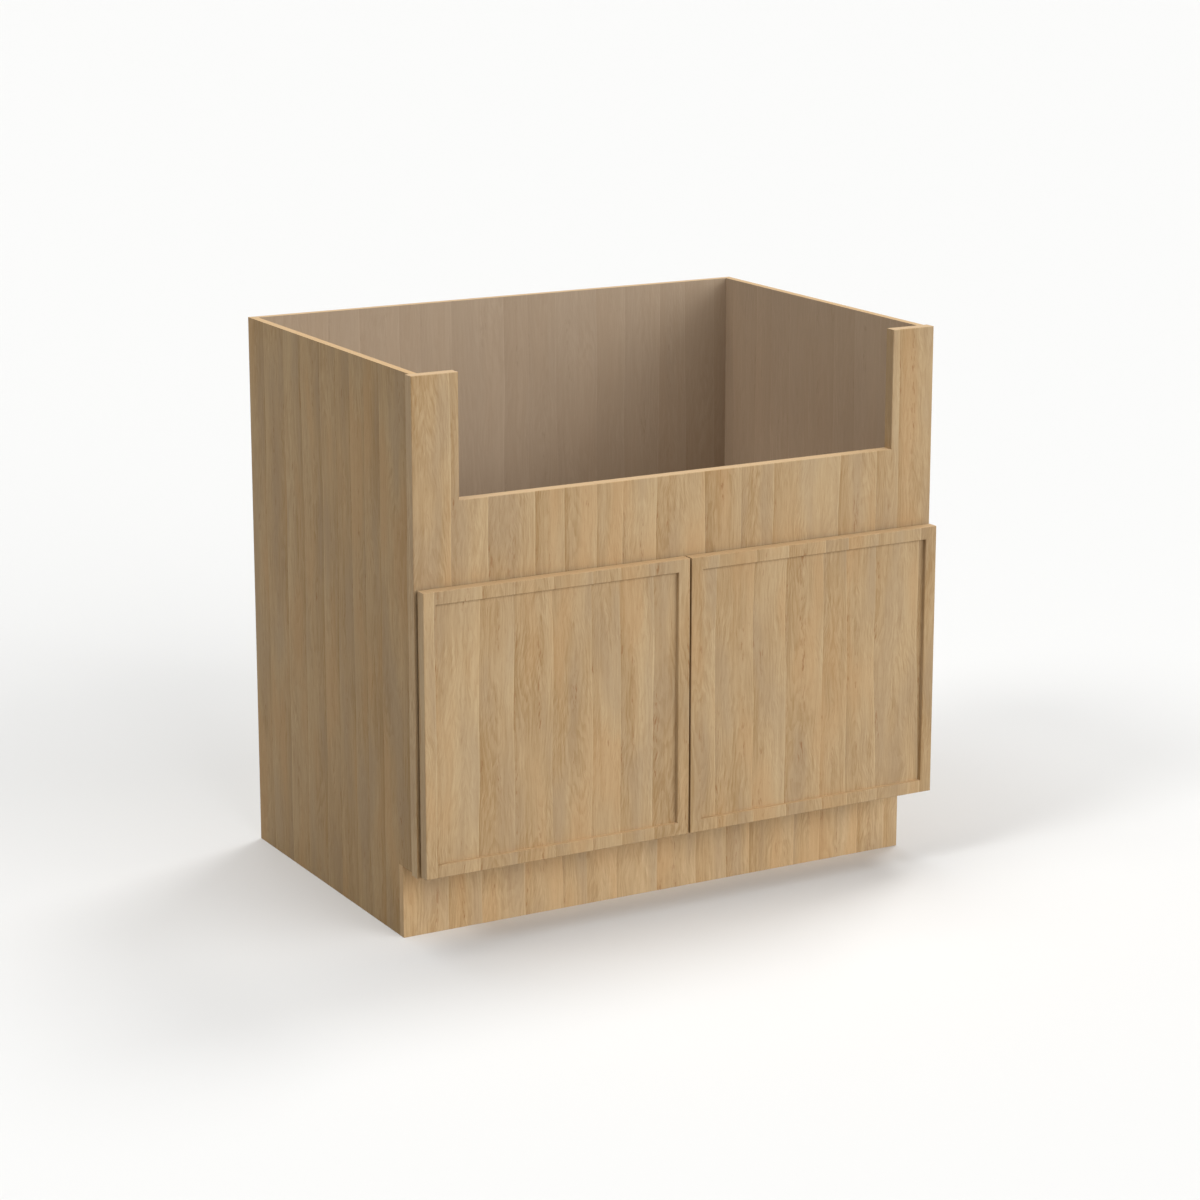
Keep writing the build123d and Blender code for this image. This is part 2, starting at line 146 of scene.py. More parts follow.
class OakSettings(bpy.types.PropertyGroup):
    """Oak veneer on the face frame, the doors, the end panels and the toe kick."""
    pale: colour("Pale", "C5AC86", "Palest wood")
    middle: colour("Middle", "B59973", "Most of the wood")
    deep: colour("Deep", "9F8057", "Deepest wood")
    grey: colour("Grey", "A28C71", "Wood that leans to grey")
    warm: colour("Warm", "BE986B", "Wood that leans to orange")
    pore: colour("Pore", "87562B", "Open pores and flecks along the grain")
    # Painted top light: a paler colour on every oak face that looks up, standing in for light from
    # above.
    painted_top_light: colour("Painted top light", "D0B086", "Paler colour painted on faces that look up, as light from above")
    # Painted shade: below 1, it darkens the end panels' outer faces, in place of the shade that
    # falls on the cabinet's sides.
    end_painted_light: lift("End lift", 0.85, "How pale the end panels are: 1 is the doors' own tone")
    # Painted light: above 1, it makes the toe kick paler, against the shade of its recess under the
    # doors.
    toe_painted_light: lift("Toe lift", 1.2, "How pale the toe kick is: 1 is the doors' own tone")
    stave: length("Stave", 62.0, "Usual width of one stave in the veneer")
    sway: length("Sway", 12.0, "How far a stave's edges wander")
    wave: length("Wave", 14.0, "How far the grain wanders within the stave")
    figure: length("Figure", 300.0, "Usual length of one arch of the figure")
    ring: length("Ring", 3.6, "Growth rings where they lie closest")
    fibre: length("Fibre", 1.7, "Width of a bundle of fibres")
    pore_length: length("Pore length", 12.0, "Length of an open pore")
    contrast: share("Contrast", 1.0, "How far the figure shows")
    roughness: share("Roughness", 0.55, "Matt lacquer")


class InsideSettings(bpy.types.PropertyGroup):
    """Clear-coated oak veneer on the faces inside the box, flatter and greyer."""
    pale: colour("Pale", "BFAB94", "Palest wood")
    middle: colour("Middle", "AB9780", "Most of the wood")
    deep: colour("Deep", "9D876F", "Deepest wood")
    grey: colour("Grey", "A69480", "Wood that leans to grey")
    warm: colour("Warm", "AE967C", "Wood that leans to orange")
    pore: colour("Pore", "7C664F", "Open pores and flecks along the grain")
    # Painted light: above 1, it makes the end panels' inner faces paler, against the shade inside
    # the box.
    end_painted_light: lift("End lift", 1.25, "How pale the end panels are: 1 is the back's own tone")
    stave: length("Stave", 62.0, "Usual width of one stave in the veneer")
    sway: length("Sway", 10.0, "How far a stave's edges wander")
    wave: length("Wave", 10.0, "How far the grain wanders within the stave")
    figure: length("Figure", 420.0, "Usual length of one arch of the figure")
    ring: length("Ring", 6.0, "Growth rings where they lie closest")
    fibre: length("Fibre", 2.2, "Width of a bundle of fibres")
    pore_length: length("Pore length", 12.0, "Length of an open pore")
    contrast: share("Contrast", 0.4, "How far the figure shows")
    roughness: share("Roughness", 0.6, "Thin clear coat")


class PlySettings(bpy.types.PropertyGroup):
    """Bare birch plywood on the back, the underside and the hidden boards."""
    face: colour("Face", "D8C19C", "Sanded face veneer")
    figure: colour("Figure", "C3A67C", "Figure in the face veneer")
    pale_ply: colour("Pale ply", "D6BF98", "Plies cut along the grain")
    dark_ply: colour("Dark ply", "A9855A", "Plies cut across the grain")
    ply: length("Ply", 1.41, "Thickness of one ply")
    roughness: share("Roughness", 0.75, "Sanded, with no coat")


class StageSettings(bpy.types.PropertyGroup):
    """Camera, floor, background and even light."""
    camera_place: bpy.props.FloatVectorProperty(
        name="Camera place", description="Where the camera stands", subtype="TRANSLATION",
        unit="LENGTH", default=(-2.431, -4.389, 1.695),
    )
    camera_turn: angle("Camera turn", 29.16, "To the right of straight ahead")
    camera_tilt: angle("Camera tilt", -13.15, "Above the horizon")
    lens: bpy.props.FloatProperty(
        name="Lens", description="Focal length", unit="CAMERA", default=96.0,
    )
    shift_y: bpy.props.FloatProperty(
        name="Shift", description="Upright shift of the lens", default=-0.05,
    )
    floor: colour("Floor", "ECECEB", "White floor as the camera sees it")
    floor_bounce: colour("Floor bounce", "B8B6B3", "White floor as the cabinet is lit by it")
    background: colour("Background", "FAFAFA", "What is seen past the floor")
    dome: colour("Dome", "505050", "Even light from all round")


# ---- Nodes
def add(tree, kind, inputs=(), **settings):
    """Add a node and return its outputs. Its inputs, in order or by name, take values or outputs."""
    node = tree.nodes.new("ShaderNode" + kind)
    for name, value in settings.items():
        setattr(node, name, value)
    for socket, value in inputs.items() if isinstance(inputs, dict) else enumerate(inputs):
        if isinstance(value, bpy.types.NodeSocket):
            tree.links.new(value, node.inputs[socket])
        else:
            node.inputs[socket].default_value = value
    return node.outputs


# A Map Range node takes a value, the two ends it comes from and the two ends it goes to. It
# keeps within those, and eases into them where it is given SMOOTH.
SMOOTH = {"interpolation_type": "SMOOTHSTEP"}


def facing(tree, axis, sign=0):
    """1 on faces that look along an axis: both ways, or one way where a sign is given."""
    normal = add(tree, "TexCoord")["Normal"]
    part = add(tree, "SeparateXYZ", [normal])[axis]
    if sign:
        part = add(tree, "Math", (part, float(sign)), operation="MULTIPLY")[0]
    else:
        part = add(tree, "Math", [part], operation="ABSOLUTE")[0]
    return add(tree, "Math", (part, SQUARE_ENOUGH), operation="GREATER_THAN")[0]


def in_mm(tree):
    """The place in the row frame, in mm."""
    at = add(tree, "TexCoord")["Object"]
    return add(tree, "VectorMath", {0: at, "Scale": MM}, operation="SCALE")[0]


def along(tree, axis):
    """The place on a face whose grain runs along an axis, in mm: x across it, y along it."""
    at = add(tree, "SeparateXYZ", [in_mm(tree)])
    first, second = [i for i in (X, Y, Z) if i != axis]
    sides = {0: facing(tree, first), FLOAT_A: at[first], FLOAT_B: at[second]}
    across = add(tree, "Mix", sides, data_type="FLOAT")[FLOAT_OUT]
    return add(tree, "CombineXYZ", (across, at[axis]))[0]


def grain(tree, upright, level):
    """The same place, where upright faces and faces that look up or down differ in grain."""
    if upright == level:
        return along(tree, upright)
    inputs = {0: facing(tree, Z), VECTOR_A: along(tree, upright), VECTOR_B: along(tree, level)}
    return add(tree, "Mix", inputs, data_type="VECTOR")[VECTOR_OUT]


def streaks(tree, place, size, seed, detail=1.0, drift=(0, 0, 0)):
    """Noise of a size across and along the grain. Drift, a colour, tells staves apart."""
    scale = (1 / size[0], 1 / size[1], 0)
    apart = (STAVES_APART, STAVES_APART, STAVES_APART)
    sized = add(tree, "VectorMath", (place, scale, (seed, -seed, seed)), operation="MULTIPLY_ADD")[0]
    moved = add(tree, "VectorMath", (drift, apart, sized), operation="MULTIPLY_ADD")[0]
    return add(tree, "TexNoise", {"Vector": moved, "Scale": 1.0, "Detail": detail})[0]


def wavy(tree, place, far, size, seed, detail=1.0):
    """The place pushed across the grain by soft waves, up to so many mm."""
    wave = streaks(tree, place, size, seed, detail)
    return add(tree, "VectorMath", (wave, (far, 0, 0), place), operation="MULTIPLY_ADD")[0]


# ---- Wood
def staves(tree, width, place, seed):
    """Cut a face into uneven staves: the place within one, from 0 to 1, and its own chance."""
    even = add(tree, "Math", (add(tree, "SeparateXYZ", [place])[0], width), operation="DIVIDE")[0]
    swell = streaks(tree, place, [width * times for times in STAVE_SWELL], seed)
    # A stave's edges shift by up to one width to either side, which makes the staves uneven.
    uneven = add(tree, "MapRange", (swell, 0, 1, seed - 1, seed + 1))[0]
    at = add(tree, "Math", (even, uneven), operation="ADD")[0]
    number = add(tree, "Math", [at], operation="FLOOR")[0]
    chance = add(tree, "TexWhiteNoise", {"W": number}, noise_dimensions="1D")["Color"]
    return add(tree, "Math", [at], operation="FRACT")[0], chance


def growth(tree, settings, place, off, chance, seed):
    """Growth rings cut at a slant: fine arches about the stave's middle, 1 on late wood."""
    width, ring = settings.stave * MM, settings.ring * MM
    square = add(tree, "Math", (off, off), operation="MULTIPLY")[0]
    figure = (width, settings.figure * MM)
    swell = streaks(tree, place, figure, seed, detail=1.5, drift=chance)
    swell = add(tree, "MapRange", (swell, 0, 1, 0, OAK_RINGS))[0]
    field = add(tree, "Math", (square, width / ring, swell), operation="MULTIPLY_ADD")[0]
    ripple = streaks(tree, place, (ring * 1.5, ring * 6), seed + 1, drift=chance)
    rings = add(tree, "Math", (field, ripple), operation="ADD")[0]
    rings = add(tree, "Math", [rings], operation="FRACT")[0]
    # Late wood comes in slowly over a ring, and ends sharply.
    rise = add(tree, "MapRange", (rings, 0.25, 0.8, 0, 1), **SMOOTH)[0]
    fall = add(tree, "MapRange", (rings, 1.0, 0.88, 0, 1), **SMOOTH)[0]
    return add(tree, "Math", (rise, fall), operation="MULTIPLY")[0]


def flecks(tree, settings, place, within, off, chance, seed):
    """Short brown flecks, where they keep to the stave's left edge and its middle."""
    fleck = streaks(tree, place, FLECK, seed + 13, detail=2.5, drift=chance)
    fleck = add(tree, "MapRange", (fleck, 0.54, 0.66, 0, 1), **SMOOTH)[0]
    distance = add(tree, "Math", [off], operation="ABSOLUTE")[0]
    middle = add(tree, "MapRange", (distance, 0.10, 0.02, 0, 1), **SMOOTH)[0]
    edge = add(tree, "MapRange", (within, 0.12, 0.04, 0, 1), **SMOOTH)[0]
    lines = add(tree, "Math", (middle, edge), operation="MAXIMUM")[0]
    reach = streaks(tree, place, (settings.stave * MM, FLECK_REACH), seed + 15, drift=chance)
    reach = add(tree, "MapRange", (reach, 0.48, 0.6, 0, 1), **SMOOTH)[0]
    lines = add(tree, "Math", (lines, reach), operation="MULTIPLY")[0]
    return add(tree, "Math", (fleck, lines), operation="MULTIPLY")[0]


def feathers(tree, place, width, off, chance, seed):
    """Short slanting fibres that meet in a V about the stave's middle, in stretches: -1 to 1."""
    side = add(tree, "Math", [off], operation="SIGN")[0]
    lean = add(tree, "Math", (side, FEATHER_LEAN), operation="MULTIPLY")[0]
    level = add(tree, "SeparateXYZ", [place])[1]
    slant = add(tree, "CombineXYZ", [add(tree, "Math", (level, lean), operation="MULTIPLY")[0]])[0]
    leaning = add(tree, "VectorMath", (place, slant), operation="ADD")[0]
    lines = streaks(tree, leaning, FEATHER, seed + 31, detail=1.5, drift=chance)
    lines = add(tree, "MapRange", (lines, 0.35, 0.65, -1, 1), **SMOOTH)[0]
    zone = streaks(tree, place, (width, width * 2), seed + 29, drift=chance)
    zone = add(tree, "MapRange", (zone, 0.45, 0.6, 0, 1), **SMOOTH)[0]
    return add(tree, "Math", (lines, zone), operation="MULTIPLY")[0]


def veneer(tree, settings, place, seed):
    """Colour and height of sliced oak: wavy staves, arches, fibres, pores and brown flecks."""
    width, fibre, show = settings.stave * MM, settings.fibre * MM, settings.contrast
    place = wavy(tree, place, settings.sway * MM, SWAY, seed + 25)
    within, chance = staves(tree, width, place, seed)
    place = wavy(tree, place, settings.wave * MM, WAVE, seed + 21, detail=2.5)
    lot = add(tree, "SeparateColor", [chance])
    middle = add(tree, "MapRange", (lot[2], 0, 1, 0.35, 0.65))[0]
    off = add(tree, "Math", (within, middle), operation="SUBTRACT")[0]
    late = growth(tree, settings, place, off, chance, seed)
    fine = streaks(tree, place, (fibre, fibre * FIBRE_LENGTH), seed, detail=2.0, drift=chance)
    zone = streaks(tree, place, (width, width * 3), seed + 11, drift=chance)
    zone = add(tree, "MapRange", (zone, 0.32, 0.55, 0, -0.20 * show), **SMOOTH)[0]
    patch = streaks(tree, place, (width, width * 4), seed + 17, detail=1.5, drift=chance)
    streak = streaks(tree, place, STREAK, seed + 23, detail=2.0, drift=chance)
    feather = feathers(tree, place, width, off, chance, seed)

    # The tone runs from 0 on the deepest wood to 1 on the palest. It starts with the late wood,
    # which shows in stretches, and each part pushes it up or down.
    tone = add(tree, "Math", (late, zone), operation="MULTIPLY")[0]
    for part in (
        add(tree, "Math", (feather, 0.13 * show), operation="MULTIPLY"),
        # Across a stave: deep at the left to pale at the right, with a line at either edge.
        add(tree, "MapRange", (within, 0.0, 0.9, 0.5 - 0.12 * show, 0.5 + 0.12 * show)),
        add(tree, "MapRange", (within, 0.15, 0.0, 0.0, -0.10 * show), **SMOOTH),
        add(tree, "MapRange", (within, 0.965, 0.99, 0.0, 0.30 * show), **SMOOTH),
        # From stave to stave, then in ever finer streaks along the grain.
        add(tree, "MapRange", (lot[0], 0, 1, -0.08 * show, 0.08 * show)),
        add(tree, "MapRange", (patch, 0.3, 0.7, -0.11 * show, 0.11 * show), **SMOOTH),
        add(tree, "MapRange", (streak, 0.3, 0.7, -0.10 * show, 0.10 * show), **SMOOTH),
        add(tree, "MapRange", (fine, 0.25, 0.75, -0.13 * show, 0.13 * show), **SMOOTH),
    ):
        tone = add(tree, "Math", (tone, part[0]), operation="ADD")[0]

    # The colours lie over each other: wood from deep to pale, then grey and warm patches, then
    # the pores and flecks.
    lean = streaks(tree, place, (width * 0.8, width * 4), seed + 19, detail=1.5, drift=chance)
    pore = streaks(tree, place, (PORE_WIDTH, settings.pore_length * MM), seed + 9)
    pore = add(tree, "MapRange", (pore, 0.58, 0.74, 0, 1), **SMOOTH)[0]
    fleck = flecks(tree, settings, place, within, off, chance, seed)
    base = settings.deep
    for part, over in (
        (add(tree, "MapRange", (tone, 0.0, 0.5, 0, 1)), settings.middle),
        (add(tree, "MapRange", (tone, 0.5, 1.0, 0, 1)), settings.pale),
        (add(tree, "MapRange", (lean, 0.48, 0.70, 0, 0.42 * show), **SMOOTH), settings.grey),
        (add(tree, "MapRange", (lean, 0.50, 0.32, 0, 0.38 * show), **SMOOTH), settings.warm),
        (add(tree, "Math", (pore, 0.14 * show), operation="MULTIPLY"), settings.pore),
        (add(tree, "Math", (fleck, 0.55 * show), operation="MULTIPLY"), settings.pore),
    ):
        inputs = {0: part[0], COLOUR_A: base, COLOUR_B: over}
        base = add(tree, "Mix", inputs, data_type="RGBA")[COLOUR_OUT]
    return base, add(tree, "Math", (fine, pore), operation="SUBTRACT")[0]


def oak(tree, place, seed):
    """Sliced oak veneer, with painted top light on faces that look up: colour, height, roughness."""
    settings = bpy.context.scene.cabinet_oak
    base, height = veneer(tree, settings, place, seed)
    # Painted top light: faces that look up are mixed towards a paler colour, as if lit from above.
    edge = add(tree, "Math", (facing(tree, Z, 1), PAINTED_TOP_LIGHT_COVER), operation="MULTIPLY")[0]
    inputs = {0: edge, COLOUR_A: base, COLOUR_B: settings.painted_top_light}
    return add(tree, "Mix", inputs, data_type="RGBA")[COLOUR_OUT], height, settings.roughness


def end_oak(tree, place, seed):
    """The same oak, warmer and with painted shade on the end panels' upright faces: colour, height,
    roughness.
    """
    settings = bpy.context.scene.cabinet_oak
    base, height, roughness = oak(tree, place, seed)
    # The painted top light on their top edges keeps its tone, so the painted shade lies only on the
    # upright faces.
    value = add(tree, "MapRange", (facing(tree, Z), 0, 1, settings.end_painted_light, 1))[0]
    inputs = {"Color": base, "Saturation": END_SATURATION, "Value": value}
    return add(tree, "HueSaturation", inputs)[0], height, roughness


def toe_oak(tree, place, seed):
    """The same oak with painted light, paler against the shade of its recess, for the toe kick: its
    colour, height and roughness.
    """
    settings = bpy.context.scene.cabinet_oak
    base, height, roughness = oak(tree, place, seed)
    # Painted light: the colour is made paler to offset the shade under the doors.
    paler = add(tree, "HueSaturation", {"Color": base, "Value": settings.toe_painted_light})[0]
    return paler, height, roughness


def inner_oak(tree, place, seed):
    """The flatter, greyer oak of the inside: its colour, height and roughness."""
    settings = bpy.context.scene.cabinet_inside
    return (*veneer(tree, settings, place, seed), settings.roughness)


def inner_end_oak(tree, place, seed):
    """The inner oak with painted light, paler against the shade inside the box, for the end panels:
    its colour, height and roughness.
    """
    settings = bpy.context.scene.cabinet_inside
    base, height, roughness = inner_oak(tree, place, seed)
    # Painted light: the colour is made paler to offset the shade inside the box.
    paler = add(tree, "HueSaturation", {"Color": base, "Value": settings.end_painted_light})[0]
    return paler, height, roughness


def birch(tree, place, seed):
    """Rotary-cut birch with a broad wavy figure: its colour, height and roughness."""
    settings = bpy.context.scene.cabinet_ply
    swell = streaks(tree, place, BIRCH_SWELL, seed, detail=2.0)
    rings = add(tree, "Math", (swell, BIRCH_RINGS), operation="MULTIPLY")[0]
    rings = add(tree, "Math", [rings], operation="FRACT")[0]
    # Late wood comes in slowly over a ring, and ends sharply. Fibres lie over it.
    rise = add(tree, "MapRange", (rings, 0.1, 0.8, 0, 0.45), **SMOOTH)[0]
    fall = add(tree, "MapRange", (rings, 1.0, 0.85, 0, 1), **SMOOTH)[0]
    fibre = streaks(tree, place, BIRCH_FIBRE, seed + 2, detail=3.0)
    lines = add(tree, "MapRange", (fibre, 0.3, 0.75, 0, 0.4), **SMOOTH)[0]
    figure = add(tree, "Math", (rise, fall, lines), operation="MULTIPLY_ADD")[0]
    inputs = {0: figure, COLOUR_A: settings.face, COLOUR_B: settings.figure}
    return add(tree, "Mix", inputs, data_type="RGBA")[COLOUR_OUT], fibre, settings.roughness


def plies(tree, axis, start):
    """The cut edge of plywood: pale and dark plies in turn, counted from one face of the board."""
    settings = bpy.context.scene.cabinet_ply
    place = in_mm(tree)
    at = add(tree, "SeparateXYZ", [place])[axis]
    depth = add(tree, "Math", (at, start * MM), operation="SUBTRACT")[0]
    pair = add(tree, "Math", (depth, 2 * settings.ply * MM), operation="DIVIDE")[0]
    pair = add(tree, "Math", [pair], operation="FRACT")[0]
    # The second half of each pair is the dark ply.
    rise = add(tree, "MapRange", (pair, 0.46, 0.54, 0, 0.75), **SMOOTH)[0]
    fall = add(tree, "MapRange", (pair, 1.0, 0.94, 0, 1), **SMOOTH)[0]
    rough = add(tree, "TexNoise", {"Vector": place, "Scale": SAW_MARK, "Detail": 3.0})[0]
    mottle = add(tree, "MapRange", (rough, 0.35, 0.7, -0.1, 0.3), **SMOOTH)[0]
    tone = add(tree, "Math", (rise, fall, mottle), operation="MULTIPLY_ADD")[0]
    inputs = {0: tone, COLOUR_A: settings.pale_ply, COLOUR_B: settings.dark_ply}
    return add(tree, "Mix", inputs, data_type="RGBA")[COLOUR_OUT], rough, settings.roughness


# ---- Materials
def material(name):
    """A new node material, its tree and its principled shader."""
    made = bpy.data.materials.new(name)
    made.use_nodes = True
    return made, made.node_tree, made.node_tree.nodes["Principled BSDF"]


def coat(tree, shader, base, height, strength, depth=GRAIN_DEPTH):
    """Give the shader its colour and a shallow relief."""
    relief = add(tree, "Bump", {"Height": height, "Strength": strength, "Distance": depth})
    tree.links.new(base, shader.inputs["Base Color"])
    tree.links.new(relief[0], shader.inputs["Normal"])


def wooden(name):
    """A new material with the weak shine that lacquer and raw wood have, its tree and shader."""
    made, tree, shader = material(name)
    shader.inputs["IOR"].default_value = 1.48
    shader.inputs["Specular IOR Level"].default_value = 0.2
    return made, tree, shader


def lacquered_oak(name, seed):
    """Oak veneer under clear matt lacquer: a soft even sheen over warm straight staves.

    Upright faces have upright grain, and edges that face up or down have it lengthwise.
    """
    made, tree, shader = wooden(name)
    base, height, roughness = oak(tree, grain(tree, Z, X), seed)
    coat(tree, shader, base, height, GRAIN_RELIEF)
    shader.inputs["Roughness"].default_value = roughness
    return made


def faced_board(name, node, seed, thickness, *finishes):
    """Dress a board of plywood: bare plies on every face but those with a finish.

    Thickness is the axis across the plies. A finish is a wood, its grain on upright and on
    level faces, and the faces it lies on, each an axis and a way along it.
    Oak under lacquer or a thin clear coat has a soft even sheen. Bare plies and birch scatter
    light like raw wood, so they are the roughest part.
    """
    made, tree, shader = wooden(name)
    base, height, roughness = plies(tree, thickness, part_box(node)[0][thickness])
    for wood, upright, level, *faces in finishes:
        here = facing(tree, *faces[0])
        for face in faces[1:]:
            here = add(tree, "Math", (here, facing(tree, *face)), operation="MAXIMUM")[0]
        face_base, face_height, face_roughness = wood(tree, grain(tree, upright, level), seed)
        inputs = {0: here, COLOUR_A: base, COLOUR_B: face_base}
        base = add(tree, "Mix", inputs, data_type="RGBA")[COLOUR_OUT]
        inputs = {0: here, FLOAT_A: height, FLOAT_B: face_height}
        height = add(tree, "Mix", inputs, data_type="FLOAT")[FLOAT_OUT]
        inputs = {0: here, FLOAT_A: roughness, FLOAT_B: face_roughness}
        roughness = add(tree, "Mix", inputs, data_type="FLOAT")[FLOAT_OUT]
    coat(tree, shader, base, height, GRAIN_RELIEF)
    tree.links.new(roughness, shader.inputs["Roughness"])
    dress(made, node)


def plated(name, bright, mottle, dull):
    """Plated steel, pressed and barrel-plated: bright, with a soft uneven bloom."""
    made, tree, shader = material(name)
    place = in_mm(tree)
    bloom = add(tree, "TexNoise", {"Vector": place, "Scale": BLOOM, "Detail": 2.0})[0]
    grit = add(tree, "TexNoise", {"Vector": place, "Scale": GRIT, "Detail": 2.0})[0]
    part = add(tree, "MapRange", (bloom, 0.35, 0.65, 0, 1), **SMOOTH)[0]
    inputs = {0: part, COLOUR_A: linear(bright), COLOUR_B: linear(mottle)}
    base = add(tree, "Mix", inputs, data_type="RGBA")[COLOUR_OUT]
    coat(tree, shader, base, grit, GRIT_RELIEF, GRIT_DEPTH)
    # The bloom is a little rougher than the bright plating round it.
    rough = add(tree, "MapRange", (bloom, 0.3, 0.7, dull - 0.06, dull + 0.08), **SMOOTH)[0]
    tree.links.new(rough, shader.inputs["Roughness"])
    shader.inputs["Metallic"].default_value = 1.0
    return made


def beech(name):
    """Beech dowel rod, turned: pale pink-brown with short brown ray flecks."""
    made, tree, shader = material(name)
    place = along(tree, Y)
    fibre = streaks(tree, place, BEECH_FIBRE, SHEETS["dowel_fibre"], detail=3.0)
    part = add(tree, "MapRange", (fibre, 0.3, 0.7, 0, 1), **SMOOTH)[0]
    inputs = {0: part, COLOUR_A: linear("D9B98F"), COLOUR_B: linear("CBA679")}
    base = add(tree, "Mix", inputs, data_type="RGBA")[COLOUR_OUT]
    ray = streaks(tree, place, BEECH_RAY, SHEETS["dowel_ray"])
    ray = add(tree, "MapRange", (ray, 0.58, 0.70, 0, 1), **SMOOTH)[0]
    inputs = {0: ray, COLOUR_A: base, COLOUR_B: linear("A8794C")}
    base = add(tree, "Mix", inputs, data_type="RGBA")[COLOUR_OUT]
    coat(tree, shader, base, fibre, TURNED_RELIEF)
    shader.inputs["Roughness"].default_value = 0.65
    return made


def soft_bumper(name):
    """Cast polyurethane: milky, slightly see-through and tacky."""
    made, tree, shader = material(name)
    cloud = add(tree, "TexNoise", {"Vector": in_mm(tree), "Scale": CLOUD, "Detail": 1.0})[0]
    part = add(tree, "MapRange", (cloud, 0.3, 0.7, 0, 1), **SMOOTH)[0]
    inputs = {0: part, COLOUR_A: linear("E4E1D8"), COLOUR_B: linear("D8D4C8")}
    base = add(tree, "Mix", inputs, data_type="RGBA")[COLOUR_OUT]
    coat(tree, shader, base, cloud, CAST_RELIEF)
    shader.inputs["Roughness"].default_value = 0.42
    shader.inputs["IOR"].default_value = 1.5
    shader.inputs["Transmission Weight"].default_value = 0.25
    return made


def dress(made, *names):
    """Give CAD nodes one material."""
    for name in names:
        node = NODES[name]
        if not node.material_slots:
            node.data.materials.append(made)
        for slot in node.material_slots:
            slot.link = "OBJECT"
            slot.material = made


# ---- Operators
class CABINET_OT_face_frame(bpy.types.Operator):
    """Finish the stiles, the apron panel and the bottom rail."""
    bl_idname = "cabinet.face_frame"
    bl_label = "Face frame"

    def execute(self, context):
        made = lacquered_oak("oak_veneer_matt_lacquer_frame", SHEETS["frame"])
        dress(made, "left_stile", "right_stile", "apron_panel", "bottom_rail")
        return {"FINISHED"}


class CABINET_OT_doors(bpy.types.Operator):
    """Finish both doors' members, each door from its own sheet of veneer."""
    bl_idname = "cabinet.doors"
    bl_label = "Doors"

    def execute(self, context):
        members = ("hinge_stile", "lock_stile", "top_rail", "bottom_rail", "panel")
        for side in SIDES:
            door = f"{side}_door"
            made = lacquered_oak(f"oak_veneer_matt_lacquer_{door}", SHEETS[door])
            dress(made, *[f"{door}_{member}" for member in members])
        return {"FINISHED"}


class CABINET_OT_box(bpy.types.Operator):
    """Finish the end panels, the back and the floor of the box."""
    bl_idname = "cabinet.box"
    bl_label = "Box"

    def execute(self, context):
        for side, out in OUTWARD.items():
            end = f"{side}_end"
            faced_board(
                f"plywood_oak_faced_{end}", f"{end}_panel", SHEETS[end], X,
                (end_oak, Z, Y, (X, out), (Z, 1)),
                (inner_end_oak, Z, Z, (X, -out)),
            )
        faced_board(
            "plywood_clear_coated_back", "back_panel", SHEETS["back"], Y,
            (inner_oak, Z, Z, (Y, -1)),
            (birch, Z, Z, (Y, 1)),
            (oak, X, X, (Z, 1)),
        )
        faced_board(
            "plywood_clear_coated_floor", "bottom_panel", SHEETS["floor"], Z,
            (inner_oak, X, X, (Z, 1)),
            (birch, X, X, (Z, -1)),
        )
        return {"FINISHED"}


class CABINET_OT_toe_kick(bpy.types.Operator):
    """Finish the toe-kick board and the bare boards behind it and under the floor."""
    bl_idname = "cabinet.toe_kick"
    bl_label = "Toe kick and hidden boards"

    def execute(self, context):
        faced_board(
            "plywood_oak_faced_toe_kick", "toe_kick_board", SHEETS["toe_kick"], Y,
            (toe_oak, Z, Z, (Y, -1), (X, 0)),
        )
        faced_board(
            "plywood_bare_backer", "toe_kick_backer", SHEETS["backer"], Y,
            (birch, X, X, (Y, 0)),
        )
        faced_board(
            "plywood_bare_sleeper", "floor_sleeper", SHEETS["sleeper"], X,
            (birch, Y, Y, (X, 0)),
        )
        faced_board(
            "plywood_bare_blocks", "glue_blocks", SHEETS["blocks"], Y,
            (birch, Z, Z, (Y, 0)),
        )
        return {"FINISHED"}


class CABINET_OT_hinges(bpy.types.Operator):
    """Finish the hinge cups, arms and pins."""
    bl_idname = "cabinet.hinges"
    bl_label = "Hinges"

    def execute(self, context):
        nickel = plated("steel_nickel_plated", "C9C4BA", "B9B4A9", 0.30)
        zinc = plated("steel_zinc_plated_pin", "C3C6C8", "B4B6B2", 0.34)
        for side in SIDES:
            for place in PLACES:
                dress(nickel, f"{side}_{place}_hinge_cup", f"{side}_{place}_hinge_arm")
                dress(zinc, f"{side}_{place}_hinge_pin")
        return {"FINISHED"}


class CABINET_OT_fasteners(bpy.types.Operator):
    """Finish the screws, staples and dowels."""
    bl_idname = "cabinet.fasteners"
    bl_label = "Fasteners"

    def execute(self, context):
        zinc = plated("steel_zinc_plated_screws", "C3C6C8", "B4B6B2", 0.34)
        dress(zinc, "pocket_screws", "hinge_arm_screws", "back_staples")
        dress(zinc, *[f"{side}_hinge_cup_screws" for side in SIDES])
        dress(beech("beech_turned_dowel"), "frame_dowels")
        return {"FINISHED"}


class CABINET_OT_bumpers(bpy.types.Operator):
    """Finish the soft bumpers on the doors' backs."""
    bl_idname = "cabinet.bumpers"
    bl_label = "Bumpers"

    def execute(self, context):
        dress(soft_bumper("polyurethane_cast_bumper"), *[f"{side}_door_bumpers" for side in SIDES])
        return {"FINISHED"}


